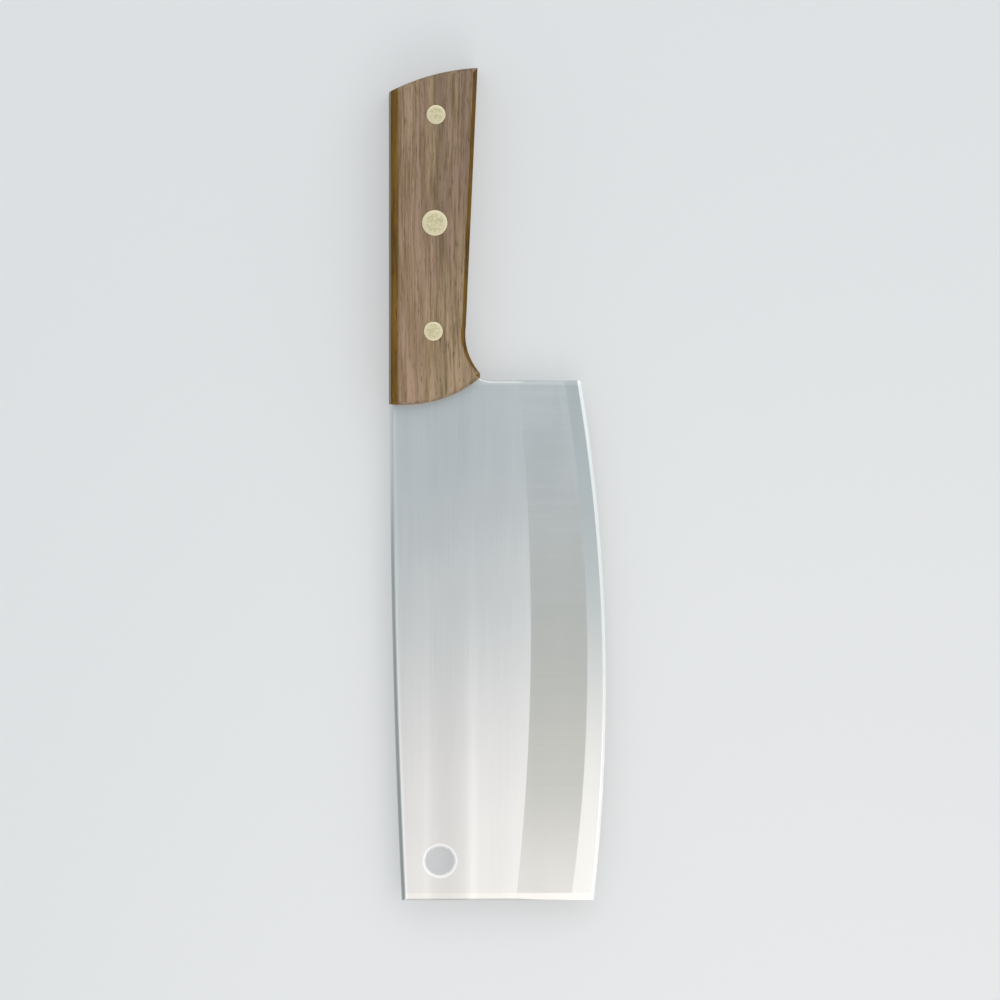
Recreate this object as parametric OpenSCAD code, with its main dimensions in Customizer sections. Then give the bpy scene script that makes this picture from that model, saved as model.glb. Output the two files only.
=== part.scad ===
/* [Blade] */
// Length of the blade from the heel line to the tip, at the cutting edge
blade_l = 192.2; // [160:0.2:230]
// Height of the blade at the heel, from the spine to the cutting edge
heel_h = 70.6; // [60:0.1:80]
// How much the curve of the cutting edge adds to that height at its widest place
edge_rise = 9.4; // [5:0.1:13]
// Distance of the widest place from the heel line
edge_peak = 113.4; // [95:0.2:130]
// How far the spine has come down at the tip
spine_drop = 4.4; // [2:0.1:8]
// Thickness of the steel, in the blade and the tang
stock_t = 3; // [2.4:0.1:4]
// Radius of the rounding on each side of the spine
spine_round = 1.7; // [0.4:0.1:2]
// Radius of the rounding on each side of the heel and the tip end
end_round = 0.9; // [0.3:0.1:1.4]
// Width of the curved ramp between the handle's nose and the heel line
ramp_w = 4.1; // [3:0.1:6]
// Height of that ramp at the nose
ramp_h = 1.1; // [1.1:0.1:2.5]
// Radius of the ramp's curve
ramp_r = 10; // [8:0.5:20]

/* [Grinds] */
// Width of the primary grind at its narrowest, from its shoulder to the cutting edge
grind_w = 27.9; // [20:0.1:36]
// Distance of the top of the primary shoulder's curve from the heel line
grind_peak = 92.9; // [80:0.1:110]
// How far that curve falls away towards the heel
grind_rise = 4.8; // [3:0.1:9]
// Width of the second grind, next to the cutting edge
second_w = 6.9; // [5:0.1:10]
// Distance of the top of the second shoulder's curve from the heel line
second_peak = 104.5; // [90:0.1:120]
// How far that curve falls away towards the heel
second_rise = 8.6; // [4:0.1:10]
// Thickness where the primary grind meets the second one
shoulder_t = 1.6; // [1.2:0.05:2]
// Thickness just behind the honed edge
behind_edge_t = 0.6; // [0.3:0.05:0.8]
// Angle of the honed edge on each side, in degrees
hone_angle = 17; // [12:0.5:25]
// Width of the flat that is left at the very edge
edge_land = 0.08; // [0.04:0.01:0.2]

/* [Hanging hole] */
// Diameter of the hanging hole
hole_d = 10.5; // [6:0.1:14]
// Distance of its centre from the handle's back line, across the blade
hole_from_back = 18.5; // [14:0.1:30]
// Distance of its centre from the tip, along the blade
hole_from_tip = 14.5; // [12:0.1:30]
// Width of the bevel round each rim
hole_bevel = 0.6; // [0.2:0.05:0.8]

/* [Handle] */
// Length of the handle's straight back, from its front end to the butt
back_l = 115.6; // [105:0.2:130]
// How far the back's front end reaches over the blade, past the heel line
front_lap = 8.8; // [7:0.1:12]
// Width of the handle at the butt
butt_w = 32; // [29:0.1:38]
// Width of the handle at its waist
waist_w = 27.6; // [25:0.1:29]
// Distance of the waist from the heel line
waist_y = 18; // [15:0.1:23]
// Width of the handle across its nose
nose_w = 32.9; // [31:0.1:36]
// Distance of the nose's lower corner from the heel line
nose_y = 0.9; // [0.2:0.1:1]
// How far the butt's belly corner stands out past its back corner
butt_slant = 8.6; // [5:0.1:12]
// Radius of the butt's curve
butt_r = 79; // [60:1:120]
// Radius of the front end's curve
front_r = 44; // [38:0.5:70]
// Radius of the hollow between the waist and the nose
flare_r = 21.7; // [18:0.1:28]
// Thickness of each wooden scale
scale_t = 8.5; // [7:0.1:11]
// Radius of the rounding along the scales' outer edges
ease_r = 2; // [1:0.1:3]

/* [Rivets] */
// Distance of the middle rivet from the handle's back
rivet_x = 16.1; // [14:0.1:18]
// Distance of the middle rivet from the heel line
rivet_y = 58.1; // [54:0.1:64]
// Distance from one rivet to the next along the handle
rivet_pitch = 40; // [34:0.2:44]
// How much further from the back each rivet sits than the one in front of it
rivet_drift = 0.5; // [0:0.1:1]
// Head diameter of the front and rear rivets
small_head_d = 7.2; // [6.4:0.1:9]
// Head diameter of the middle rivet
large_head_d = 9.6; // [7:0.1:12]
// Thickness of a rivet's head
head_t = 1.6; // [1:0.1:2.5]
// Outer diameter of the tube half
tube_d = 5; // [4.2:0.1:6]
// Diameter of the pin half
pin_d = 3; // [2:0.1:3.4]
// Radial clearance between the two halves
rivet_fit = 0.02; // [0.01:0.01:0.05]
// Radial clearance of the rivets in the wood and the tang
rivet_clear = 0.05; // [0.02:0.01:0.1]
// Free length at the end of the tube and of the pin
rivet_gap = 0.4; // [0.2:0.1:1]

/* [Hidden] */

steel = "#C3C9CA";
wood = "#96826A";
brass = "#D8CFA6";

// Facets of a full circle in the preview, for the long curves and for the short ones
wide_fn = 1440;
fine_fn = 72;

// One overrun serves all cuts
over = 1;

// An eased edge stops this share of its radius short of tangent, which leaves a clean line
crease_share = 0.015;

// How far a curve or an easing runs past the next one, so that the two cross cleanly
lap = 0.1;

// Length of the lead-in at the pin's end
pin_lead = 0.5;

// Radius of the circle whose arc falls by drop over the distance reach from its top
function arc_radius(reach, drop) = (reach * reach + drop * drop) / (2 * drop);

// Centre of the circle of radius r through p and q, to the left of the way from p to q
function arc_centre(p, q, r) =
    let (way = q - p, l = norm(way))
    (p + q) / 2 + [-way[1], way[0]] * (sqrt(r * r - l * l / 4) / l);

// Bearing of point p as seen from point c
function bearing(c, p) = atan2(p[1] - c[1], p[0] - c[0]);

// Angle that the length l takes up on a circle of radius r
function turn(l, r) = asin(l / r);

// The long curves of the blade
edge_h = heel_h + edge_rise;
edge_r = arc_radius(edge_peak, edge_rise);
grind_r = arc_radius(grind_peak, grind_rise);
second_r = arc_radius(second_peak, second_rise);
spine_r = arc_radius(blade_l - front_lap, spine_drop);
spine_centre = [spine_r, -front_lap];
half_stock = stock_t / 2;
half_land = edge_land / 2;

// The slopes of the grinds: half thickness lost for each unit of the way to the edge
grind_slope = (stock_t - shoulder_t) / 2 / (grind_w - second_w);
second_slope = (shoulder_t - behind_edge_t) / 2 / second_w;
hone_slope = tan(hone_angle);

// The corners of the handle and the centres of its curves
back_front = [0, -front_lap];
nose_front = [nose_w, nose_y];
waist = [waist_w, waist_y];
butt_back = [0, back_l - front_lap];
butt_belly = butt_back + [butt_w, butt_slant];
front_centre = arc_centre(back_front, nose_front, front_r);
butt_centre = arc_centre(butt_belly, butt_back, butt_r);
belly_way = (butt_belly - waist) / norm(butt_belly - waist);
belly_foot = waist - belly_way * (waist_y / belly_way[1]);
belly_top = butt_belly + belly_way * over;
flare_centre = waist + [belly_way[1], -belly_way[0]] * (flare_r - lap);
flare_half = flare_centre[0] - nose_w;
nose_back = [nose_w, flare_centre[1] - sqrt(flare_r * flare_r - flare_half * flare_half)];

// The ramp that fills the corner between the nose and the heel line
ramp_top = [nose_w, ramp_h];
ramp_foot = [nose_w + ramp_w, 0];
ramp_centre = arc_centre(ramp_top, ramp_foot, ramp_r);

// The height of each half of the handle, and the place of its middle rivet
half_h = half_stock + scale_t;
rivet_mid = [rivet_x, rivet_y];
rivet_step = [rivet_drift, rivet_pitch];

// Shapes are drawn from the corner of the heel line and the back line, halfway up the
// steel. This puts the origin under the middle of the cleaver as it lies on its side.
module placed() {
    translate([-edge_h / 2, (blade_l - butt_belly[1]) / 2, half_h]) children();
}

module both_sides() {
    children();
    mirror([0, 0, 1]) children();
}

// The waste outside a rounded corner, seen end on, with the corner's arc round the origin
module corner_waste(r) {
    crease = r * crease_share;
    translate([crease, crease]) difference() {
        square(r + over);
        circle(r, $fn = fine_fn);
    }
}

// The waste above an eased edge that runs straight from p to q, with the body on its left
module ease_line(p, q, r, top, before, after) {
    translate([q[0], q[1], top - r]) rotate([90, 0, bearing(p, q) - 90])
        translate([-r, 0, -after])
        linear_extrude(norm(q - p) + before + after) corner_waste(r);
}

// The same for an edge that curves outwards round c, from one bearing to another
module ease_arc(c, arc_r, r, top, from, to) {
    more = turn(r + over, arc_r);
    translate([c[0], c[1], top - r])
        rotate_extrude(angle = to - from + 2 * more, start = from - more, $fn = wide_fn)
        translate([arc_r - r, 0]) corner_waste(r);
}

// The same for an edge that is hollowed by a circle round c
module ease_hollow(c, arc_r, r, top, from = 0, to = 360) {
    translate([c[0], c[1], top - r])
        rotate_extrude(angle = to - from, start = from, $fn = wide_fn)
        translate([arc_r + r, 0]) mirror([1, 0]) corner_waste(r);
}

// The outline of the tang and of both scales
module handle_outline() {
    front_y = front_centre[1] - front_r - over;
    difference() {
        union() {
            intersection() {
                translate(front_centre) circle(front_r, $fn = wide_fn);
                translate([0, front_y]) square([nose_w, waist_y - front_y]);
            }
            intersection() {
                translate(butt_centre) circle(butt_r, $fn = wide_fn);
                polygon([[0, 0], belly_foot, belly_top, [0, belly_top[1]]]);
            }
        }
        translate(flare_centre) circle(flare_r, $fn = wide_fn);
    }
}

// The outline of the blade in front of the handle, before its curves are ground
module blade_outline() {
    translate([-over, -blade_l]) square([edge_h + 2 * over, blade_l]);
    difference() {
        translate([nose_w - 2 * ramp_w, -over]) square([3 * ramp_w + over, ramp_h + over]);
        translate(ramp_centre) circle(ramp_r, $fn = wide_fn);
    }
}

// A wheel whose rim is ground from both sides. It is 2 * half thick at the radius r, and the
// slope goes on inwards past the steel's faces and outwards until only the land is left. The
// half turn puts the start of its sweep on the side away from the blade.
module ground_wheel(r, half, slope) {
    inner = [r - (stock_t - half) / slope, stock_t];
    outer = [r + (half - half_land) / slope, half_land];
    rotate(180) rotate_extrude($fn = wide_fn)
        polygon([
            [0, -inner[1]], [inner[0], -inner[1]], [outer[0], -outer[1]],
            outer, inner, [0, inner[1]],
        ]);
}

// The waste outside the rounded spine, heel, ramp and tip end, on the upper side
module blunt_waste() {
    ease_arc(
        spine_centre, spine_r, spine_round, half_stock,
        180 - turn(front_lap + ramp_h, spine_r), 180 + turn(blade_l - front_lap, spine_r)
    );
    ease_line([edge_h, 0], ramp_foot, end_round, half_stock, over, lap);
    ease_hollow(
        ramp_centre, ramp_r, end_round, half_stock,
        bearing(ramp_centre, ramp_top) - turn(end_round + over, ramp_r),
        bearing(ramp_centre, ramp_foot)
    );
    ease_line([0, -blade_l], [edge_h, -blade_l], end_round, half_stock, over, over);
}

// The steel between its blunt sides and its three grinds. Each grind follows a curve of its
// own, so the bands between them narrow and widen along the blade.
module ground_steel() {
    difference() {
        intersection() {
            translate(spine_centre) cylinder(stock_t, r = spine_r, center = true, $fn = wide_fn);
            translate([edge_h - grind_w - grind_r, -grind_peak])
                ground_wheel(grind_r, half_stock, grind_slope);
            translate([edge_h - second_w - second_r, -second_peak])
                ground_wheel(second_r, shoulder_t / 2, second_slope);
            translate([edge_h - edge_r, -edge_peak]) ground_wheel(edge_r, half_land, hone_slope);
            linear_extrude(stock_t + 2 * over, center = true) blade_outline();
        }
        both_sides() blunt_waste();
    }
}

// The hole and its bevelled rims
module hanging_hole() {
    hole_r = hole_d / 2;
    rim_z = half_stock - hole_bevel;
    cut = hole_bevel + over;
    translate([hole_from_back, hole_from_tip - blade_l]) {
        cylinder(stock_t + 2 * over, r = hole_r, center = true, $fn = fine_fn);
        both_sides() translate([0, 0, rim_z]) cylinder(cut, hole_r, hole_r + cut, $fn = fine_fn);
    }
}

// Puts its children at each rivet, from the front one to the rear one
module at_rivets() {
    for (i = [-1:1]) translate(rivet_mid + i * rivet_step) {
        $head_d = i == 0 ? large_head_d : small_head_d;
        children();
    }
}

module blade() {
    color(steel) placed() difference() {
        union() {
            ground_steel();
            linear_extrude(stock_t, center = true) handle_outline();
        }
        hanging_hole();
        at_rivets() cylinder(
            stock_t + 2 * over, r = tube_d / 2 + rivet_clear, center = true, $fn = fine_fn
        );
    }
}

// One wooden scale, lying on the tang's upper face
module scale_body() {
    past = ease_r + over;
    difference() {
        translate([0, 0, half_stock]) linear_extrude(scale_t) handle_outline();
        ease_line(butt_back, back_front, ease_r, half_h, past, past);
        ease_line(nose_front, nose_back, ease_r, half_h, past, past);
        ease_line(waist, butt_belly, ease_r, half_h, 0, past);
        ease_arc(
            front_centre, front_r, ease_r, half_h,
            bearing(front_centre, back_front), bearing(front_centre, nose_front)
        );
        ease_arc(
            butt_centre, butt_r, ease_r, half_h,
            bearing(butt_centre, butt_belly), bearing(butt_centre, butt_back)
        );
        ease_hollow(flare_centre, flare_r, ease_r, half_h);
        at_rivets() {
            cylinder(half_h + over, r = tube_d / 2 + rivet_clear, $fn = fine_fn);
            translate([0, 0, half_h - head_t])
                cylinder(head_t + over, r = $head_d / 2 + rivet_clear, $fn = fine_fn);
        }
    }
}

module upper_scale() {
    color(wood) placed() scale_body();
}

module lower_scale() {
    color(wood) placed() mirror([0, 0, 1]) scale_body();
}

// The half of a rivet that enters from below: a flat head and a tube for the pin
module rivet_tube(i, head_d) {
    tube_l = 2 * (half_h - head_t) - rivet_gap;
    color(brass) placed() translate(rivet_mid + i * rivet_step) translate([0, 0, -half_h])
        difference() {
            union() {
                cylinder(head_t, d = head_d, $fn = fine_fn);
                translate([0, 0, head_t / 2])
                    cylinder(head_t / 2 + tube_l, d = tube_d, $fn = fine_fn);
            }
            translate([0, 0, head_t])
                cylinder(tube_l + over, r = pin_d / 2 + rivet_fit, $fn = fine_fn);
        }
}

// The half that enters from above: a flat head and a pin with a tapered lead
module rivet_pin(i, head_d) {
    pin_l = 2 * (half_h - head_t) - rivet_gap;
    color(brass) placed() translate(rivet_mid + i * rivet_step) mirror([0, 0, 1])
        translate([0, 0, -half_h]) {
            cylinder(head_t, d = head_d, $fn = fine_fn);
            translate([0, 0, head_t / 2])
                cylinder(head_t / 2 + pin_l - pin_lead, d = pin_d, $fn = fine_fn);
            translate([0, 0, head_t + pin_l - pin_lead])
                cylinder(pin_lead, pin_d / 2, pin_d / 2 - pin_lead, $fn = fine_fn);
        }
}

blade();
upper_scale();
lower_scale();
rivet_tube(-1, small_head_d);  // front_rivet_tube
rivet_pin(-1, small_head_d);  // front_rivet_pin
rivet_tube(0, large_head_d);  // middle_rivet_tube
rivet_pin(0, large_head_d);  // middle_rivet_pin
rivet_tube(1, small_head_d);  // rear_rivet_tube
rivet_pin(1, small_head_d);  // rear_rivet_pin
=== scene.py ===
"""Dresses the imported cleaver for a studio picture: ground steel, oiled wood and brass rivets.

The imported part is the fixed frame. The two wooden scales stay as they are and get their material.
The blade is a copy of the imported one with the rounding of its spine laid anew. The rivets are
turned again with crowned heads and eased rims. A floor, soft lamps and a camera make up the stage.
"""

import math

import bmesh
import bpy
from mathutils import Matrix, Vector


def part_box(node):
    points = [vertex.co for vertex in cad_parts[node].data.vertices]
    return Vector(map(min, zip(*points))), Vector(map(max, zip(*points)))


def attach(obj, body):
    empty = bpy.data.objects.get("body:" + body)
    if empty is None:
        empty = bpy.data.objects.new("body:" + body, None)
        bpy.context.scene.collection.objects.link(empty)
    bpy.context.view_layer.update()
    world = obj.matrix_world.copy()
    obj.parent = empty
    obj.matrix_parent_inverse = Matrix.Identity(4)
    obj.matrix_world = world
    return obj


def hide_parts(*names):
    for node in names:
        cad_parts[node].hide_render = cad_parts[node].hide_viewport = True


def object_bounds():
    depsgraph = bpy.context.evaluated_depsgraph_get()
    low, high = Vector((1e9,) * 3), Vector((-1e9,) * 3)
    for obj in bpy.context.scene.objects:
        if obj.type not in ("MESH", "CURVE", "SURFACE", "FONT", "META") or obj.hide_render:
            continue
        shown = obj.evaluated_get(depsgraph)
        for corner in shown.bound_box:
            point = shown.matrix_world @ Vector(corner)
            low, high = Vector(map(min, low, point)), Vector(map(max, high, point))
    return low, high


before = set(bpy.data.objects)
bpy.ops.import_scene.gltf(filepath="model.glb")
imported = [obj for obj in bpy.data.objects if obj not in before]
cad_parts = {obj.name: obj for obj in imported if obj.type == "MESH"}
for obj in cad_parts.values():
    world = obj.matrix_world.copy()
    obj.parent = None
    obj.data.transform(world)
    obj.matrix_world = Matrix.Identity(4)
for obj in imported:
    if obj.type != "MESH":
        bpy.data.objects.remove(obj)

CAD_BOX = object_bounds()

bl_info = {
    "name": "Cleaver Workshop",
    "version": (1, 0, 0),
    "blender": (4, 5, 0),
    "location": "3D View > Sidebar > Cleaver",
    "description": "Grinds, fits and lights a riveted kitchen cleaver",
    "category": "Object",
}

MM = 0.001
BODY = "root"
RIVETS = ("front", "middle", "rear")

# The blade's long circles, seen from above: where each one's middle is, and its radius.
EDGE_CENTRE, EDGE_RADIUS = (-648.7 * MM, -75.0 * MM, 0), 688.7 * MM
GRIND_CENTRE, GRIND_RADIUS = (-889.3 * MM, -54.5 * MM, 0), 901.4 * MM
SECOND_CENTRE, SECOND_RADIUS = (-606.1 * MM, -66.1 * MM, 0), 639.2 * MM
SPINE_CENTRE, SPINE_RADIUS = (3784.4227 * MM, 29.6 * MM, 0), 3824.4227 * MM

# The hanging hole's middle, and the radius of its eased rim.
HOLE_CENTRE, RIM_RADIUS = (-21.5 * MM, -139.3 * MM, 0), 5.85 * MM

# How far along the tip's end and the heel lie.
TIP, HEEL = CAD_BOX[0].y, 38.4 * MM

# The rounding on each side of the spine: its radius, and how far its middle lies inwards from
# the spine and below the middle of the steel.
ROUND_RADIUS, ROUND_IN, ROUND_BELOW = 1.7 * MM, 1.6745 * MM, 0.1745 * MM
HALF_STEEL = 1.5 * MM
MIDDLE = (CAD_BOX[0].z + CAD_BOX[1].z) / 2

# Between which places along the spine its rounding is laid anew, how long the first and last
# facets are there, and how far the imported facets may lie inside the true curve.
RELAID = (TIP + 0.9 * MM, SPINE_CENTRE[1] - 0.2 * MM)
END_STRIP, SAG = 0.3 * MM, 0.1 * MM

# Corners that are nearer to each other than the first are one corner. The second is what a cut
# may be off, and the third is too little to see.
SAME_SPOT, CUT_OFF, HAIR = 0.0001 * MM, 0.0005 * MM, 0.01 * MM

# From which upright share of its normal a face is nearly level, and which sideways share tells
# that it belongs to the spine's rounding.
NEARLY_LEVEL, SPINEWARDS = 0.95, -0.1

# How many facets go round a rivet and round the floor.
RIVET_STEPS, FLOOR_STEPS = 72, 96

# Stripes of another tone: the middle of each, half its width, and how much paler it is. On the
# flat they are painted reflections and painted shade, and on the wood they come where its grain
# changes. The wood's are placed on its swaying grain, and show about 2 mm nearer the spine.
PAINTED_REFLECTION_STRIPES = (
    (-35 * MM, 20 * MM, -0.08),
    (-18.5 * MM, 12.5 * MM, -0.16),
    (-26.4 * MM, 2.4 * MM, 0.05),
    (-9.5 * MM, 3.2 * MM, 0.08),
)
GRAIN_STRIPES = (
    (-30.8 * MM, 5.5 * MM, 0.22),
    (-23.3 * MM, 1.8 * MM, 0.13),
    (-19.7 * MM, 3 * MM, -0.22),
    (-10.6 * MM, 2.6 * MM, -0.14),
)

# Each lamp's place, its width and depth in metres, its radiance and tint, and what it points at.
# The flat of the blade mirrors the one near its tip, and the honed edge the one at the side.
LAMPS = {
    "tip_softbox": ((0.12, -0.4, 0.45), (0.42, 0.63), 1.12, (1.0, 0.84, 0.75), (0.12, -0.4, 0.0)),
    "room_softbox": ((0.2, 1.4, 1.4), (3.2, 2.3), 0.66, (1.0, 0.98, 0.96), (0.0, 0.0, 0.0)),
    "side_softbox": ((0.95, -0.05, 1.15), (1.2, 0.5), 0.3, (1.0, 0.98, 0.96), (0.0, -0.05, 0.0)),
}


def linear(code):
    """An sRGB hex colour as linear red, green, blue and alpha."""
    parts = [int(code[i : i + 2], 16) / 255 for i in (1, 3, 5)]
    return (*[c / 12.92 if c <= 0.04045 else ((c + 0.055) / 1.055) ** 2.4 for c in parts], 1.0)


def colour(name, description, code):
    """A colour property, given as an sRGB hex value."""
    return bpy.props.FloatVectorProperty(
        name=name, description=description, subtype="COLOR", size=4, min=0, max=1, default=linear(code)
    )


def length(name, description, millimetres):
    """A length property, given in millimetres and kept in metres."""
    return bpy.props.FloatProperty(
        name=name,
        description=description,
        unit="LENGTH",
        subtype="DISTANCE",
        min=0,
        default=millimetres * MM,
    )


class SteelSettings(bpy.types.PropertyGroup):
    """The blade's steel."""

    satin: colour("Satin flat", "Steel of the flat, ground along the blade", "#D9DBDB")
    cross: colour("Cross ground", "Steel of the wide grind, ground across the blade", "#BBBEBA")
    bright: colour("Bright", "Steel of the narrow second grind", "#D6DAD9")
    # The tip end's pale band is a painted highlight, standing in for a narrow bevel along the tip's
    # end.
    tip_end: colour("Tip end", "Steel of the bright band along the tip's end", "#E2E3E0")
    honed: colour("Honed", "Steel of the honed edge", "#F8F9F6")
    # The dull steel of the rounded spine and heel is also painted shade.
    dull: colour("Dull", "Steel of the rounded spine and heel", "#A4A8A6")
    rim: colour("Rim", "Steel of the hole's eased rim", "#FAF9F6")
    line: length("Line spacing", "Distance between two grinding lines", 0.35)
    run: length("Line length", "Length of one grinding line", 40)
    hone: length("Honed width", "Width of the bright band of the honed edge", 1.2)
    tip_band: length("Tip band", "Width of the bright band along the tip's end", 2.6)
    # The ring, the spine line and the heel line are painted highlights.
    ring: length("Ring", "Width of the rubbed ring round the hole", 0.5)
    spine_line: length("Spine line", "From the spine to the end of the burnished line", 2.1)
    heel_line: length("Heel line", "From the heel to the middle of the burnished line's end", 1.5)
    border: length("Border", "Width over which one grind goes over into the next", 0.3)
    sharp_border: length("Sharp border", "The same at the honed edge and the hole's rim", 0.1)
    relief: length("Relief", "Depth of the grinding lines", 0.006)


class WoodSettings(bpy.types.PropertyGroup):
    """The scales' wood."""

    light: colour("Light wood", "The paler streaks", "#AA9274")
    dark: colour("Dark wood", "The darker streaks", "#796345")
    rosy: colour("Rosy wood", "The patches with a reddish cast", "#9D826E")
    # The long sides' darker, more golden tint is painted shade.
    oiled: colour("Oil tint", "What the deeper oil of the long sides does to the wood", "#BDA54C")
    pore: colour("Pores", "The open pores", "#4E3B26")
    streak: length("Streak width", "Width of one streak of the grain", 1.1)
    pore_width: length("Pore width", "Width of one open pore", 0.3)
    pore_run: length("Pore length", "Length of one open pore along the grain", 5)
    sway: length("Sway", "How far the grain wanders sideways", 4)
    relief: length("Relief", "Depth of the grain and the pores", 0.06)


class RivetSettings(bpy.types.PropertyGroup):
    """The brass rivets."""

    brass: colour("Brass", "The ground faces of the heads", "#F2E5C2")
    worn: colour("Dull brass", "The duller patches of the heads", "#D9CDA2")
    rim: length("Rim", "Width of the eased rim round each head", 0.18)
    crown: length("Crown", "How much lower the rim is than the middle of the head", 0.05)
    head: length("Head", "Thickness of a head", 1.6)
    pin: length("Pin", "Radius of the pin", 1.5)
    tube: length("Tube", "Outer radius of the tube", 2.5)
    bore: length("Bore", "Radius of the tube's bore", 1.52)
    lead: length("Lead", "Length of the taper at the pin's end", 0.5)
    relief: length("Relief", "Depth of the scratches", 0.01)


class StageSettings(bpy.types.PropertyGroup):
    """The floor, the room and the camera."""

    floor: colour("Floor", "The plain pale floor", "#E4E6E7")
    sky: colour("Ceiling light", "The light that comes from above", "#B5C0C6")
    horizon: colour("Wall light", "The paler light that comes from the sides", "#E8EAEB")
    reach: length("Floor reach", "How far the floor runs before it curves up", 6000)
    wall: length("Wall height", "How high the floor's curved-up wall is", 1600)
    distance: length("Camera distance", "How far the camera stands from the cleaver", 5000)
    field: length("Field", "Width that the picture takes in", 370)
    glow: bpy.props.FloatProperty(
        name="Glow",
        description="How much of the floor glows for the camera and for what mirrors it",
        subtype="FACTOR",
        min=0,
        max=1,
        default=0.35,
    )
    lean: bpy.props.FloatProperty(
        name="Lean",
        description="How far the camera leans towards the spine",
        subtype="ANGLE",
        default=math.radians(3),
    )


def add(tree, kind, inputs=None, **settings):
    """Adds a node to a tree with its settings, and sets or links its inputs.

    An input goes by its name or its number. Those of a Mix node are 2 and 3 for numbers, and 6
    and 7 for colours.
    """
    made = tree.nodes.new(kind)
    for name, value in settings.items():
        setattr(made, name, value)
    for socket, value in (inputs or {}).items():
        if isinstance(value, bpy.types.NodeSocket):
            tree.links.new(value, made.inputs[socket])
        else:
            made.inputs[socket].default_value = value
    return made


def new_material(name):
    """An empty material: the material and its tree."""
    made = bpy.data.materials.new(name)
    made.use_nodes = True
    made.node_tree.nodes.clear()
    return made, made.node_tree


def dress(piece, material):
    """Gives a piece one material in place of what it had."""
    piece.data.materials.clear()
    piece.data.materials.append(material)


def merged_copy(node):
    """A bmesh of a CAD node with its loose triangles joined up."""
    built = bmesh.new()
    built.from_mesh(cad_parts[node].data)
    bmesh.ops.remove_doubles(built, verts=built.verts, dist=SAME_SPOT)
    return built


def new_piece(name, built):
    """Turns a bmesh into an object of the scene."""
    mesh = bpy.data.meshes.new(name)
    built.to_mesh(mesh)
    built.free()
    piece = bpy.data.objects.new(name, mesh)
    bpy.context.scene.collection.objects.link(piece)
    return piece


def finish_piece(name, built, node):
    """Turns a bmesh into a piece that stands for a CAD node and rides with the cleaver."""
    piece = new_piece(name, built)
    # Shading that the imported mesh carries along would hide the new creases.
    for left_over in [a.name for a in piece.data.attributes if a.name == "custom_normal"]:
        piece.data.attributes.remove(piece.data.attributes[left_over])
    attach(piece, BODY)
    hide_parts(node)
    return piece


def crease(built, smooth_up_to, ground_up_to):
    """Shades every face smooth, and keeps the corners and the lines between the grinds sharp.

    An edge is sharp where its faces turn by more than smooth_up_to, or where two nearly level
    faces, as the flat and the grinds are, turn by more than ground_up_to. Two faces of the
    spine's rounding aren't among those.
    """
    for face in built.faces:
        face.smooth = True
    for edge in built.edges:
        level = all(abs(face.normal.z) > NEARLY_LEVEL for face in edge.link_faces)
        ground = level and any(face.normal.x > SPINEWARDS for face in edge.link_faces)
        edge.smooth = edge.calc_face_angle(0) < (ground_up_to if ground else smooth_up_to)


def inwards(point):
    """How far a point lies inwards from the spine's curve."""
    return SPINE_RADIUS - math.hypot(point.x - SPINE_CENTRE[0], point.y - SPINE_CENTRE[1])


def set_inwards(point, reach):
    """Moves a point, level with the steel, to lie that far inwards from the spine's curve."""
    share = (SPINE_RADIUS - reach) / (SPINE_RADIUS - inwards(point))
    point.x = SPINE_CENTRE[0] + (point.x - SPINE_CENTRE[0]) * share
    point.y = SPINE_CENTRE[1] + (point.y - SPINE_CENTRE[1]) * share


def round_depth(height):
    """How far the rounding lies inwards from the spine at a height above the steel's middle."""
    return ROUND_IN - math.sqrt(ROUND_RADIUS**2 - (height + ROUND_BELOW) ** 2)


def on_rounding(face, low_end, high_end):
    """Whether a face lies on the spine's rounding, between two places along the blade."""
    level = all(abs(v.co.z - MIDDLE) > HALF_STEEL - SAME_SPOT for v in face.verts)
    deepest = round_depth(HALF_STEEL) + SAG
    return not level and all(
        low_end < v.co.y < high_end and inwards(v.co) < deepest for v in face.verts
    )


def cut_rounding(built, place, ends):
    """Cuts the faces of the spine's rounding that lie between two ends, across the blade."""
    wanted = [face for face in built.faces if on_rounding(face, *ends)]
    edges = [edge for face in wanted for edge in face.edges]
    verts = [vert for face in wanted for vert in face.verts]
    bmesh.ops.bisect_plane(
        built,
        geom=list(dict.fromkeys(wanted + edges + verts)),
        dist=CUT_OFF,
        plane_co=(0, place, 0),
        plane_no=(0, 1, 0),
    )


def ribs_of(outline):
    """Sorts the corners of an outline into ribs across the spine, each from its foot up."""
    ribs = []
    corners = dict.fromkeys(vert for edge in outline for vert in edge.verts)
    for vert in sorted(corners, key=lambda v: v.co.y):
        if not ribs or vert.co.y - ribs[-1][0].co.y > END_STRIP / 2:
            ribs.append([])
        ribs[-1].append(vert)
    for rib in ribs:
        rib.sort(key=lambda v: v.co.z)
    return ribs


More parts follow.
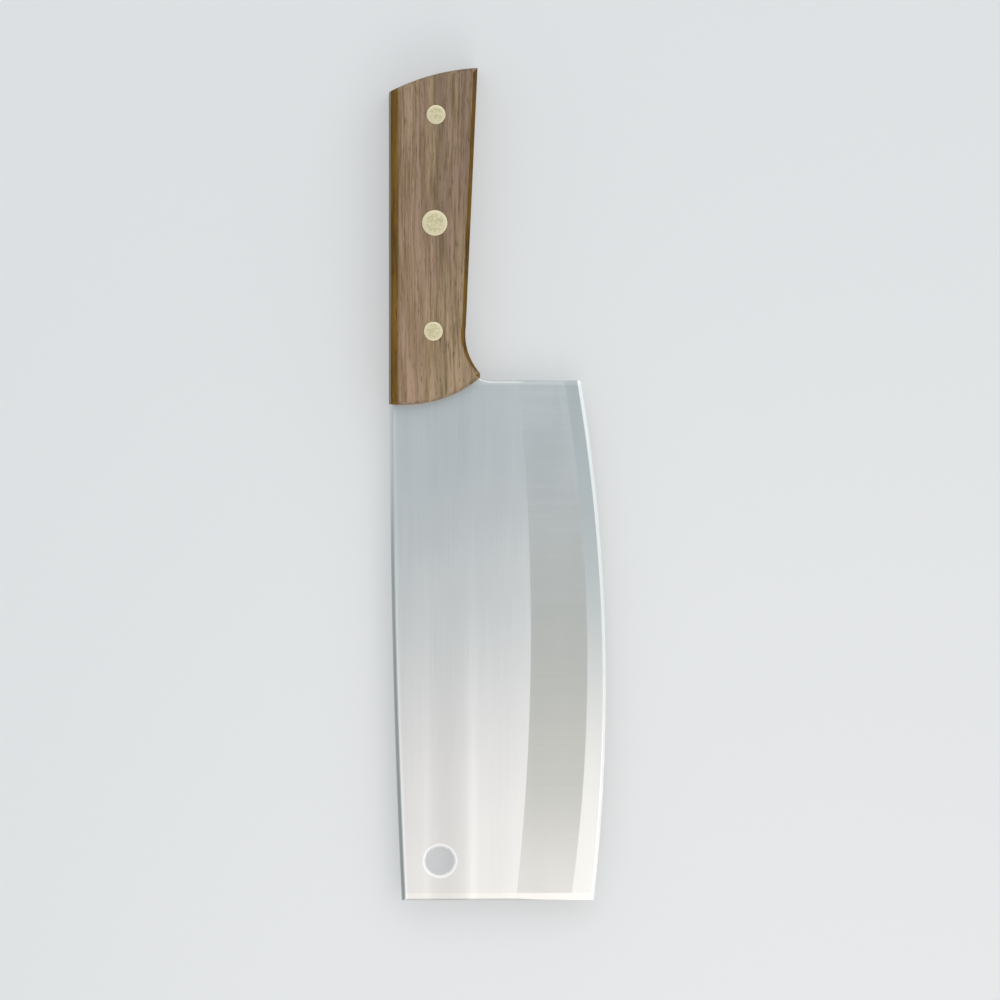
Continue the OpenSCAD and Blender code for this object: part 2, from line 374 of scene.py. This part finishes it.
def reground_spine(built, columns, rows):
    """Lays the spine's rounding anew, in short even facets with their corners on the true curve.

    The rounding runs from the flat to a narrow land along the middle of the spine. Its last bit
    at either end stays as it is, where it meets the tip's rounding and the handle.
    """
    start, end = RELAID
    for place in RELAID:
        cut_rounding(built, place, (TIP - HAIR, SPINE_CENTRE[1] + HAIR))
    inside = (start - HAIR, end + HAIR)
    even = [start + (end - start) * i / columns for i in range(1, columns)]
    for place in (start + END_STRIP, end - END_STRIP, *even):
        cut_rounding(built, place, inside)

    old = [face for face in built.faces if on_rounding(face, *inside)]
    going = set(old)
    ribs = ribs_of(
        edge for edge in built.edges if sum(face in going for face in edge.link_faces) == 1
    )
    bmesh.ops.delete(built, geom=old, context="FACES")

    land = math.sqrt(ROUND_RADIUS**2 - ROUND_IN**2) - ROUND_BELOW
    low, high = (math.asin((height + ROUND_BELOW) / ROUND_RADIUS) for height in (land, HALF_STEEL))
    angles = [low + (high - low) * i / rows for i in range(rows)]
    heights = [ROUND_RADIUS * math.sin(angle) - ROUND_BELOW for angle in angles]
    heights = [-height for height in reversed(heights)] + heights
    for rib in ribs[1:-1]:
        foot, top = rib
        for vert in rib:
            set_inwards(vert.co, round_depth(HALF_STEEL))
        between = [built.verts.new((foot.co.x, foot.co.y, MIDDLE + height)) for height in heights]
        for vert, height in zip(between, heights):
            set_inwards(vert.co, max(0, round_depth(abs(height))))
        rib[:] = [foot, *between, top]
    pairs = [pair for rib in ribs for pair in zip(rib, rib[1:])]
    wires = [built.edges.get(pair) or built.edges.new(pair) for pair in pairs]
    bmesh.ops.bridge_loops(built, edges=wires)
    bmesh.ops.recalc_face_normals(built, faces=built.faces)
    built.normal_update()


def turned_rivet(look, node, hollow):
    """One half of a rivet, turned round its axis: a crowned head with an eased rim, and a shank."""
    low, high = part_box(node)
    axis = Vector(((low.x + high.x) / 2, (low.y + high.y) / 2, 0))
    radius, long = (high.x - low.x) / 2, high.z - low.z
    # The head's crown has a ring of corners at each of these shares of its radius.
    rings = (0, 0.35, 0.7, 1)
    profile = [(radius * share, look.crown * share**2) for share in rings]
    if hollow:
        profile += [(radius, look.head), (look.tube, look.head), (look.tube, long), (look.bore, long)]
        profile += [(look.bore, look.head), (0, look.head)]
    else:
        profile += [(radius, look.head), (look.pin, look.head), (look.pin, long - look.lead)]
        profile += [(look.pin - look.lead, long), (0, long)]
    face, deeper = (low.z, 1) if hollow else (high.z, -1)

    built = bmesh.new()
    spots = [built.verts.new(axis + Vector((r, 0, face + deeper * depth))) for r, depth in profile]
    wire = [built.edges.new(pair) for pair in zip(spots, spots[1:])]
    bmesh.ops.spin(
        built,
        geom=spots + wire,
        cent=axis,
        axis=(0, 0, 1),
        angle=math.tau,
        steps=RIVET_STEPS,
        use_merge=True,
    )
    bmesh.ops.remove_doubles(built, verts=built.verts, dist=SAME_SPOT)

    def on_rim(vert):
        away = (vert.co - axis).to_2d().length
        return away > radius - HAIR and abs(vert.co.z - face) < look.head / 2

    rim = [edge for edge in built.edges if all(on_rim(vert) for vert in edge.verts)]
    bmesh.ops.bevel(
        built, geom=rim, offset=look.rim, segments=3, profile=0.5, affect="EDGES", material=-1
    )
    bmesh.ops.recalc_face_normals(built, faces=built.faces)
    layer = built.loops.layers.uv.new("head")
    for facet in built.faces:
        for loop in facet.loops:
            loop[layer].uv = (loop.vert.co - axis).to_2d() / radius
    sharp = math.radians(35)
    crease(built, smooth_up_to=sharp, ground_up_to=sharp)
    return built


def beyond(tree, place, centre, radius, blend):
    """A share that goes from 0 inside a circle, seen from above, to 1 outside it."""
    level = add(tree, "ShaderNodeVectorMath", {0: place, 1: (1, 1, 0)}, operation="MULTIPLY")
    reach = add(
        tree, "ShaderNodeVectorMath", {0: level.outputs[0], 1: centre}, operation="DISTANCE"
    )
    return add(
        tree,
        "ShaderNodeMapRange",
        {
            "Value": reach.outputs["Value"],
            "From Min": radius - blend / 2,
            "From Max": radius + blend / 2,
        },
        interpolation_type="SMOOTHSTEP",
    ).outputs[0]


def drawn_out(tree, place, size, detail, rough=0.5):
    """Noise drawn out to a size along each axis."""
    stretch = tuple(1 / span for span in size)
    scaled = add(tree, "ShaderNodeVectorMath", {0: place, 1: stretch}, operation="MULTIPLY")
    return add(
        tree,
        "ShaderNodeTexNoise",
        {"Vector": scaled.outputs[0], "Scale": 1, "Detail": detail, "Roughness": rough},
    ).outputs["Fac"]


def stripes(tree, across, wanted, total):
    """Adds up how much paler each wanted stripe makes a place, on top of a total."""
    for middle, half, paler in wanted:
        off = add(tree, "ShaderNodeMath", {0: across, 1: middle}, operation="SUBTRACT").outputs[0]
        away = add(tree, "ShaderNodeMath", {0: off}, operation="ABSOLUTE").outputs[0]
        stripe = add(
            tree,
            "ShaderNodeMapRange",
            {"Value": away, "From Min": 0, "From Max": half, "To Min": paler, "To Max": 0},
            interpolation_type="SMOOTHSTEP",
        ).outputs[0]
        total = add(tree, "ShaderNodeMath", {0: stripe, 1: total}, operation="ADD").outputs[0]
    return total


def painted_grind_shade(tree, along):
    """How much the wide grind's greyer tone shows, as painted shade: faint at the heel, full in the
    middle, less at the tip.
    """
    out = add(
        tree,
        "ShaderNodeMapRange",
        {"Value": along, "From Min": 38 * MM, "From Max": -75 * MM},
        interpolation_type="SMOOTHSTEP",
    ).outputs[0]
    back = add(
        tree,
        "ShaderNodeMapRange",
        {"Value": along, "From Min": -105 * MM, "From Max": TIP, "To Min": 1, "To Max": 0.5},
        interpolation_type="SMOOTHSTEP",
    ).outputs[0]
    return add(tree, "ShaderNodeMath", {0: out, 1: back}, operation="MULTIPLY").outputs[0]


def shaded_rounding(tree, facing, along):
    """The share of the dull rounding at the spine and heel, darkened as painted shade, from the way the
    steel faces.

    The tip's end has none, and towards the handle less shade is painted, so it shows lighter there.
    """
    split = add(tree, "ShaderNodeSeparateXYZ", {0: facing}).outputs
    upright = add(tree, "ShaderNodeMath", {0: split["Z"]}, operation="ABSOLUTE").outputs[0]
    turned = add(
        tree,
        "ShaderNodeMapRange",
        {"Value": upright, "From Min": NEARLY_LEVEL, "From Max": 0.87},
        interpolation_type="SMOOTHSTEP",
    ).outputs[0]
    off_tip = add(
        tree,
        "ShaderNodeMapRange",
        {"Value": split["Y"], "From Min": -0.5, "From Max": -0.2},
        interpolation_type="SMOOTHSTEP",
    ).outputs[0]
    # Less painted shade towards the handle.
    worn = add(
        tree,
        "ShaderNodeMapRange",
        {"Value": along, "From Min": 15 * MM, "From Max": -35 * MM, "To Min": 0.3, "To Max": 1},
        interpolation_type="SMOOTHSTEP",
    ).outputs[0]
    share = add(tree, "ShaderNodeMath", {0: turned, 1: off_tip}, operation="MULTIPLY").outputs[0]
    return add(tree, "ShaderNodeMath", {0: share, 1: worn}, operation="MULTIPLY").outputs[0]


def painted_reflections(tree, across, along, shoulder, grind):
    """How much paler painted reflections make the flat: stripes that show more towards the tip.

    The flat is paler at its shoulder too, a painted highlight, and the wide grind has none of it.
    """
    shown = add(
        tree,
        "ShaderNodeMapRange",
        {"Value": along, "From Min": 0, "From Max": -130 * MM, "To Min": 0.1, "To Max": 1},
        interpolation_type="SMOOTHSTEP",
    ).outputs[0]
    # Painted reflections and painted shade, in long stripes on the flat.
    belt = stripes(tree, across, PAINTED_REFLECTION_STRIPES, 0.0)
    at_shoulder = 0.03
    paler = add(
        tree, "ShaderNodeMath", {0: shoulder, 1: at_shoulder}, operation="MULTIPLY"
    ).outputs[0]
    paler = add(
        tree, "ShaderNodeMath", {0: belt, 1: shown, 2: paler}, operation="MULTIPLY_ADD"
    ).outputs[0]
    flat = add(tree, "ShaderNodeMath", {0: 1.0, 1: grind}, operation="SUBTRACT").outputs[0]
    return add(tree, "ShaderNodeMath", {0: paler, 1: flat}, operation="MULTIPLY").outputs[0]


def painted_highlights(tree, place, along, look):
    """How many times as bright the steel is where a highlight is painted.

    That is a line beside the spine, one beside the heel, and a ring round the hole.
    """
    line_soft, heel_soft = 1.2 * MM, 0.8 * MM
    line_paler, ring_paler = 0.13, 0.25
    by_spine = beyond(tree, place, SPINE_CENTRE, SPINE_RADIUS - look.spine_line, line_soft)
    heel_line = HEEL - look.heel_line
    by_heel = add(
        tree,
        "ShaderNodeMapRange",
        {
            "Value": along,
            "From Min": heel_line - heel_soft / 2,
            "From Max": heel_line + heel_soft / 2,
        },
    ).outputs[0]
    line = add(tree, "ShaderNodeMath", {0: by_spine, 1: by_heel}, operation="MAXIMUM").outputs[0]
    off_ring = beyond(tree, place, HOLE_CENTRE, RIM_RADIUS + look.ring, look.ring)
    shine = add(
        tree, "ShaderNodeMath", {0: line, 1: line_paler, 2: 1 + ring_paler}, operation="MULTIPLY_ADD"
    ).outputs[0]
    return add(
        tree, "ShaderNodeMath", {0: off_ring, 1: -ring_paler, 2: shine}, operation="MULTIPLY_ADD"
    ).outputs[0]


def ground_steel(look):
    """Stainless knife steel, ground on a belt and left satin.

    The flat is ground along the blade, the wide grind across it, which scatters more and looks
    greyer, and how much greyer is painted shade that changes along the blade. The second grind and
    the honed edge are dressed on a finer wheel, so they are smoother and catch more light. A pale
    band along the tip's end is a painted highlight. The rounded spine and heel are duller and
    darkened by painted shade, with a painted highlight as a thin line beside them, and the hole's
    rim is broken with abrasive and white, with a painted highlight as a ring round it. The flat
    has painted reflections and painted shade in long stripes. The real lines are a few hundredths
    of a millimetre apart: they are drawn coarser, as otherwise none would show.
    """
    material, tree = new_material("stainless_steel_satin_ground")
    coordinates = add(tree, "ShaderNodeTexCoord").outputs
    place = coordinates["Object"]
    split = add(tree, "ShaderNodeSeparateXYZ", {0: place}).outputs
    across, along = split["X"], split["Y"]

    # Which grind a place belongs to.
    grind = beyond(tree, place, GRIND_CENTRE, GRIND_RADIUS, look.border)
    shoulder_in, shoulder_soft = 4 * MM, 7 * MM
    shoulder = beyond(tree, place, GRIND_CENTRE, GRIND_RADIUS - shoulder_in, shoulder_soft)
    second = beyond(tree, place, SECOND_CENTRE, SECOND_RADIUS, look.border)
    honed = beyond(tree, place, EDGE_CENTRE, EDGE_RADIUS - look.hone, look.sharp_border)
    off_rim = beyond(tree, place, HOLE_CENTRE, RIM_RADIUS, look.sharp_border)
    # Painted shade on the rounded spine and heel, and on other faces turned from level.
    rounded = shaded_rounding(tree, coordinates["Normal"], along)
    # A painted highlight: a pale band along the tip's end.
    band_end, band_soft = TIP + look.tip_band, 0.2 * MM
    tip = add(
        tree,
        "ShaderNodeMapRange",
        {"Value": along, "From Min": band_end + band_soft, "From Max": band_end - band_soft},
        interpolation_type="SMOOTHSTEP",
    ).outputs[0]
    # The wide grind is greyer steel, darkened more or less along the blade as painted shade.
    depth = add(
        tree, "ShaderNodeMath", {0: grind, 1: painted_grind_shade(tree, along)}, operation="MULTIPLY"
    ).outputs[0]

    # The grinding lines, evened out on the second grind, and broader changes of tone and gloss.
    lengthwise = drawn_out(tree, place, (look.line, look.run, look.line), 3, 0.6)
    crosswise = drawn_out(tree, place, (look.run, look.line, look.run), 3, 0.6)
    line = add(tree, "ShaderNodeMix", {0: grind, 2: lengthwise, 3: crosswise}).outputs[0]
    evened, middle = 0.65, 0.5
    even = add(tree, "ShaderNodeMath", {0: second, 1: evened}, operation="MULTIPLY").outputs[0]
    line = add(tree, "ShaderNodeMix", {0: even, 2: line, 3: middle}).outputs[0]
    cloud = drawn_out(tree, place, (11 * MM, 400 * MM, 11 * MM), 2)
    haze = drawn_out(tree, place, (30 * MM, 45 * MM, 30 * MM), 2)

    tone = tuple(look.satin)
    shades = (
        (depth, look.cross),
        (second, look.bright),
        (tip, look.tip_end),
        (honed, look.honed),
        (rounded, look.dull),
    )
    for share, shade in shades:
        tone = add(
            tree, "ShaderNodeMix", {0: share, 6: tone, 7: tuple(shade)}, data_type="RGBA"
        ).outputs[2]
    tone = add(
        tree, "ShaderNodeMix", {0: off_rim, 6: tuple(look.rim), 7: tone}, data_type="RGBA"
    ).outputs[2]

    lined = add(
        tree,
        "ShaderNodeMapRange",
        {"Value": line, "From Min": 0.25, "From Max": 0.75, "To Min": 0.965, "To Max": 1.03},
    ).outputs[0]
    cloudy = add(
        tree,
        "ShaderNodeMapRange",
        {"Value": cloud, "From Min": 0.3, "From Max": 0.7, "To Min": 0.98, "To Max": 1.02},
    ).outputs[0]
    level = add(tree, "ShaderNodeMath", {0: lined, 1: cloudy}, operation="MULTIPLY").outputs[0]
    # Painted highlights beside the spine and the heel and round the hole.
    shine = painted_highlights(tree, place, along, look)
    # Painted reflections on the flat.
    marks = painted_reflections(tree, across, along, shoulder, grind)
    paler = add(tree, "ShaderNodeMath", {0: marks, 1: shine}, operation="ADD").outputs[0]
    level = add(tree, "ShaderNodeMath", {0: level, 1: paler}, operation="MULTIPLY").outputs[0]
    base = add(
        tree, "ShaderNodeVectorMath", {0: tone, "Scale": level}, operation="SCALE"
    ).outputs[0]

    rough = add(
        tree,
        "ShaderNodeMapRange",
        {"Value": haze, "From Min": 0.35, "From Max": 0.65, "To Min": 0.26, "To Max": 0.3},
    ).outputs[0]
    for share, finer in ((second, 0.23), (honed, 0.18)):
        rough = add(tree, "ShaderNodeMix", {0: share, 2: rough, 3: finer}).outputs[0]
    line_rough, rim_rough = 0.12, 0.55
    rough = add(
        tree, "ShaderNodeMath", {0: line, 1: line_rough, 2: rough}, operation="MULTIPLY_ADD"
    ).outputs[0]
    rough = add(tree, "ShaderNodeMix", {0: off_rim, 2: rim_rough, 3: rough}).outputs[0]

    bump = add(tree, "ShaderNodeBump", {"Strength": 0.3, "Distance": look.relief, "Height": line})
    shader = add(
        tree,
        "ShaderNodeBsdfPrincipled",
        {"Base Color": base, "Metallic": 1.0, "Roughness": rough, "Normal": bump.outputs[0]},
    )
    add(tree, "ShaderNodeOutputMaterial", {0: shader.outputs[0]})
    return material


def side_shade_share(tree, place):
    """The share of painted shade on the scales' long sides and their roundings, from the way the wood
    faces.

    The butt and the front end don't count. Along the spine's side it runs on a little over the
    edge of the flat.
    """
    facing = add(tree, "ShaderNodeTexCoord").outputs["Normal"]
    size = add(tree, "ShaderNodeVectorMath", {0: facing}, operation="ABSOLUTE").outputs[0]
    split = add(tree, "ShaderNodeSeparateXYZ", {0: size}).outputs
    less_for_ends = -0.8
    sideways = add(
        tree,
        "ShaderNodeMath",
        {0: split["Y"], 1: less_for_ends, 2: split["X"]},
        operation="MULTIPLY_ADD",
    ).outputs[0]
    turned = add(
        tree,
        "ShaderNodeMapRange",
        {"Value": sideways, "From Min": 0.04, "From Max": 0.34},
        interpolation_type="SMOOTHSTEP",
    ).outputs[0]
    spine_side = CAD_BOX[0].x
    across = add(tree, "ShaderNodeSeparateXYZ", {0: place}).outputs["X"]
    near = add(
        tree,
        "ShaderNodeMapRange",
        {"Value": across, "From Min": spine_side + 3.5 * MM, "From Max": spine_side + 1.9 * MM},
        interpolation_type="SMOOTHSTEP",
    ).outputs[0]
    return add(tree, "ShaderNodeMath", {0: turned, 1: near}, operation="MAXIMUM").outputs[0]


def oiled_wood(look):
    """A brown open-grained hardwood, planed with the grain, sanded and lightly oiled.

    Straight grain runs along the handle, in streaks of paler, darker and rosy wood with short
    dark pores, and the wood is a little paler towards the blade. The rounded long sides are
    darker and more golden from painted shade.
    """
    material, tree = new_material("brown_hardwood_sanded_oiled")
    place = add(tree, "ShaderNodeTexCoord").outputs["Object"]
    sway = drawn_out(tree, place, (40 * MM, 80 * MM, 40 * MM), 1)
    sway = add(tree, "ShaderNodeMath", {0: sway, 1: look.sway}, operation="MULTIPLY").outputs[0]
    sideways = add(tree, "ShaderNodeCombineXYZ", {0: sway}).outputs[0]
    bent = add(
        tree, "ShaderNodeVectorMath", {0: place, 1: sideways}, operation="ADD"
    ).outputs[0]

    patch = drawn_out(tree, bent, (8 * MM, 70 * MM, 8 * MM), 2)
    smoke = drawn_out(tree, bent, (13 * MM, 60 * MM, 13 * MM), 1)
    streak = drawn_out(tree, bent, (look.streak, 25 * MM, look.streak), 4, 0.65)
    pores = drawn_out(tree, bent, (look.pore_width, look.pore_run, look.pore_width), 1)

    # Each pattern, where it starts and is full, how much of its shade it gives, and the shade.
    tone = tuple(look.light)
    for pattern, low, high, most, shade in (
        (patch, 0.38, 0.62, 1.0, look.rosy),
        (smoke, 0.48, 0.68, 0.45, look.dark),
        (streak, 0.62, 0.3, 1.0, look.dark),
        (pores, 0.6, 0.72, 0.6, look.pore),
    ):
        share = add(
            tree,
            "ShaderNodeMapRange",
            {"Value": pattern, "From Min": low, "From Max": high, "To Max": most},
            interpolation_type="SMOOTHSTEP",
        ).outputs[0]
        tone = add(
            tree, "ShaderNodeMix", {0: share, 6: tone, 7: tuple(shade)}, data_type="RGBA"
        ).outputs[2]

    split = add(tree, "ShaderNodeSeparateXYZ", {0: bent}).outputs
    to_front = add(
        tree,
        "ShaderNodeMapRange",
        {
            "Value": split["Y"],
            "From Min": 115 * MM,
            "From Max": 55 * MM,
            "To Min": 1.0,
            "To Max": 1.13,
        },
        interpolation_type="SMOOTHSTEP",
    ).outputs[0]
    paler = stripes(tree, split["X"], GRAIN_STRIPES, to_front)
    tone = add(
        tree, "ShaderNodeVectorMath", {0: tone, "Scale": paler}, operation="SCALE"
    ).outputs[0]
    # Painted shade: the long sides darker and more golden.
    sides = side_shade_share(tree, place)
    tone = add(
        tree,
        "ShaderNodeMix",
        {0: sides, 6: tone, 7: tuple(look.oiled)},
        data_type="RGBA",
        blend_type="MULTIPLY",
    ).outputs[2]

    rough = add(
        tree,
        "ShaderNodeMapRange",
        {"Value": streak, "From Min": 0.3, "From Max": 0.7, "To Min": 0.62, "To Max": 0.48},
    ).outputs[0]
    sides_rougher = 0.2
    rough = add(
        tree, "ShaderNodeMath", {0: sides, 1: sides_rougher, 2: rough}, operation="MULTIPLY_ADD"
    ).outputs[0]
    relief = add(tree, "ShaderNodeMath", {0: streak, 1: pores}, operation="SUBTRACT").outputs[0]
    bump = add(tree, "ShaderNodeBump", {"Strength": 0.4, "Distance": look.relief, "Height": relief})
    shader = add(
        tree,
        "ShaderNodeBsdfPrincipled",
        {"Base Color": tone, "Roughness": rough, "Specular IOR Level": 0.25, "Normal": bump.outputs[0]},
    )
    add(tree, "ShaderNodeOutputMaterial", {0: shader.outputs[0]})
    return material


def ground_brass(look):
    """Pale brass, ground off flush with the wood and left with the belt's scratches.

    The middle of each head is duller and mottled, and its rim is brighter.
    """
    material, tree = new_material("brass_ground_flush")
    place = add(tree, "ShaderNodeTexCoord").outputs["Object"]
    head = add(tree, "ShaderNodeUVMap", uv_map="head").outputs[0]
    out = add(tree, "ShaderNodeVectorMath", {0: head}, operation="LENGTH").outputs["Value"]
    middle = add(
        tree,
        "ShaderNodeMapRange",
        {"Value": out, "From Min": 0.86, "From Max": 0.6},
        interpolation_type="SMOOTHSTEP",
    ).outputs[0]
    mottle = drawn_out(tree, place, (1.1 * MM, 1.1 * MM, 1.1 * MM), 3)
    scratch = drawn_out(tree, place, (0.12 * MM, 3 * MM, 0.12 * MM), 2)
    dull = add(
        tree, "ShaderNodeMapRange", {"Value": mottle, "From Min": 0.35, "From Max": 0.65}
    ).outputs[0]
    share = add(tree, "ShaderNodeMath", {0: dull, 1: middle}, operation="MULTIPLY").outputs[0]
    tone = add(
        tree,
        "ShaderNodeMix",
        {0: share, 6: tuple(look.brass), 7: tuple(look.worn)},
        data_type="RGBA",
    ).outputs[2]
    rough = add(
        tree,
        "ShaderNodeMapRange",
        {"Value": scratch, "From Min": 0.3, "From Max": 0.7, "To Min": 0.42, "To Max": 0.58},
    ).outputs[0]
    bump = add(tree, "ShaderNodeBump", {"Strength": 0.3, "Distance": look.relief, "Height": scratch})
    shader = add(
        tree,
        "ShaderNodeBsdfPrincipled",
        {"Base Color": tone, "Metallic": 1.0, "Roughness": rough, "Normal": bump.outputs[0]},
    )
    add(tree, "ShaderNodeOutputMaterial", {0: shader.outputs[0]})
    return material


def matt_board(look):
    """White board with a matt face.

    A share of it glows for the camera and for what mirrors it, so that it stays pale, and the
    rest takes the cleaver's shadow.
    """
    material, tree = new_material("white_board_matt")
    path = add(tree, "ShaderNodeLightPath").outputs
    seen = add(
        tree, "ShaderNodeMath", {0: path["Is Camera Ray"], 1: path["Is Glossy Ray"]}, operation="ADD"
    ).outputs[0]
    seen = add(
        tree, "ShaderNodeMath", {0: seen, 1: path["Is Transmission Ray"]}, operation="ADD"
    ).outputs[0]
    share = add(tree, "ShaderNodeMath", {0: seen, 1: look.glow}, operation="MULTIPLY").outputs[0]
    board = add(tree, "ShaderNodeBsdfDiffuse", {"Color": tuple(look.floor), "Roughness": 1.0})
    white = add(tree, "ShaderNodeEmission", {"Color": (1, 1, 1, 1), "Strength": 1.0})
    mixed = add(tree, "ShaderNodeMixShader", {0: share, 1: board.outputs[0], 2: white.outputs[0]})
    add(tree, "ShaderNodeOutputMaterial", {0: mixed.outputs[0]})
    return material


def lay_floor(look):
    """A round floor that curves up into a low wall all round."""
    built = bmesh.new()
    outline = ((0, 0), (look.reach + look.wall / 2, 0), (look.reach + look.wall / 2, look.wall))
    spots = [built.verts.new((away, 0, height)) for away, height in outline]
    wire = [built.edges.new(pair) for pair in zip(spots, spots[1:])]
    bmesh.ops.spin(
        built,
        geom=spots + wire,
        cent=(0, 0, 0),
        axis=(0, 0, 1),
        angle=math.tau,
        steps=FLOOR_STEPS,
        use_merge=True,
    )
    bmesh.ops.remove_doubles(built, verts=built.verts, dist=MM)
    foot = [
        edge
        for edge in built.edges
        if all(abs(v.co.z) < MM and v.co.length > look.reach for v in edge.verts)
    ]
    bmesh.ops.bevel(
        built, geom=foot, offset=look.wall / 2, segments=10, profile=0.5, affect="EDGES", material=-1
    )
    for face in built.faces:
        face.smooth = True
    floor = new_piece("floor", built)
    dress(floor, matt_board(look))


def light_room(look):
    """The room: cooler from above, paler from the sides."""
    world = bpy.data.worlds.new("room")
    bpy.context.scene.world = world
    world.use_nodes = True
    tree = world.node_tree
    tree.nodes.clear()
    way = add(tree, "ShaderNodeTexCoord").outputs["Generated"]
    up = add(tree, "ShaderNodeSeparateXYZ", {0: way}).outputs["Z"]
    share = add(
        tree,
        "ShaderNodeMapRange",
        {"Value": up, "From Min": 0.1, "From Max": 0.95},
        interpolation_type="SMOOTHSTEP",
    ).outputs[0]
    tone = add(
        tree, "ShaderNodeMix", {0: share, 6: tuple(look.horizon), 7: tuple(look.sky)}, data_type="RGBA"
    ).outputs[2]
    room = add(tree, "ShaderNodeBackground", {"Color": tone, "Strength": 1.0})
    add(tree, "ShaderNodeOutputWorld", {0: room.outputs[0]})


def hang_lamps():
    """The softboxes: one near the tip, one for the whole room and a weak one at the side."""
    for name, (spot, (wide, deep), radiance, tint, target) in LAMPS.items():
        light = bpy.data.lights.new(name, "AREA")
        light.shape = "RECTANGLE"
        light.size, light.size_y = wide, deep
        # The power at which an evenly glowing lamp of this size has that radiance.
        light.energy = radiance * math.pi * wide * deep
        light.color = tint
        lamp = bpy.data.objects.new(name, light)
        lamp.location = spot
        lamp.rotation_euler = (Vector(target) - Vector(spot)).to_track_quat("-Z", "Y").to_euler()
        lamp.visible_camera = False
        bpy.context.scene.collection.objects.link(lamp)


def stand_camera(look):
    """The camera: almost straight above the cleaver, leaning a little towards its spine."""
    aim = Vector((0.75 * MM, -5.8 * MM, MIDDLE))
    back = Vector((-math.sin(look.lean), 0, math.cos(look.lean)))
    view = bpy.data.cameras.new("camera")
    view.lens = view.sensor_width * look.distance / look.field
    camera = bpy.data.objects.new("camera", view)
    camera.location = aim + back * look.distance
    camera.rotation_euler = (0, -look.lean, 0)
    bpy.context.scene.collection.objects.link(camera)
    bpy.context.scene.camera = camera


class CLEAVER_OT_blade(bpy.types.Operator):
    """Give the blade its fine spine and its ground steel"""

    bl_idname = "cleaver.blade"
    bl_label = "Grind the Blade"

    def execute(self, context):
        built = merged_copy("blade")
        reground_spine(built, columns=47, rows=11)
        crease(built, smooth_up_to=math.radians(20), ground_up_to=math.radians(0.7))
        blade = finish_piece("ground_blade", built, "blade")
        dress(blade, ground_steel(context.scene.cleaver_steel))
        return {"FINISHED"}


class CLEAVER_OT_scales(bpy.types.Operator):
    """Give the two scales their oiled wood"""

    bl_idname = "cleaver.scales"
    bl_label = "Oil the Scales"

    def execute(self, context):
        wood = oiled_wood(context.scene.cleaver_wood)
        for name in ("upper_scale", "lower_scale"):
            dress(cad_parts[name], wood)
        return {"FINISHED"}


class CLEAVER_OT_rivets(bpy.types.Operator):
    """Turn the rivets with crowned heads and eased rims, in brass"""

    bl_idname = "cleaver.rivets"
    bl_label = "Set the Rivets"

    def execute(self, context):
        look = context.scene.cleaver_rivets
        brass = ground_brass(look)
        for rivet in RIVETS:
            for half in ("tube", "pin"):
                node = f"{rivet}_rivet_{half}"
                built = turned_rivet(look, node, half == "tube")
                dress(finish_piece(f"{node}_turned", built, node), brass)
        return {"FINISHED"}


class CLEAVER_OT_stage(bpy.types.Operator):
    """Lay the floor, light the room and stand the camera"""

    bl_idname = "cleaver.stage"
    bl_label = "Light the Stage"

    def execute(self, context):
        look = context.scene.cleaver_stage
        context.scene.view_settings.view_transform = "Standard"
        lay_floor(look)
        light_room(look)
        hang_lamps()
        stand_camera(look)
        return {"FINISHED"}


class CLEAVER_PT_workshop(bpy.types.Panel):
    """The steps, and the settings that they read"""

    bl_label = "Cleaver"
    bl_idname = "CLEAVER_PT_workshop"
    bl_space_type = "VIEW_3D"
    bl_region_type = "UI"
    bl_category = "Cleaver"

    def draw(self, context):
        for step in OPERATORS:
            self.layout.operator(step.bl_idname)
        for name, group in SETTINGS.items():
            for setting in group.__annotations__:
                self.layout.prop(getattr(context.scene, name), setting)


SETTINGS = {
    "cleaver_steel": SteelSettings,
    "cleaver_wood": WoodSettings,
    "cleaver_rivets": RivetSettings,
    "cleaver_stage": StageSettings,
}
OPERATORS = (CLEAVER_OT_stage, CLEAVER_OT_blade, CLEAVER_OT_scales, CLEAVER_OT_rivets)


def register():
    """Adds the settings, the steps and the panel."""
    for group in (*SETTINGS.values(), *OPERATORS, CLEAVER_PT_workshop):
        bpy.utils.register_class(group)
    for name, group in SETTINGS.items():
        setattr(bpy.types.Scene, name, bpy.props.PointerProperty(type=group))


def unregister():
    """Takes them away again."""
    for name in SETTINGS:
        delattr(bpy.types.Scene, name)
    for group in reversed((*SETTINGS.values(), *OPERATORS, CLEAVER_PT_workshop)):
        bpy.utils.unregister_class(group)


def main():
    """Builds everything in order."""
    register()
    bpy.ops.cleaver.stage()
    bpy.ops.cleaver.blade()
    bpy.ops.cleaver.scales()
    bpy.ops.cleaver.rivets()


if __name__ == "__main__":
    main()
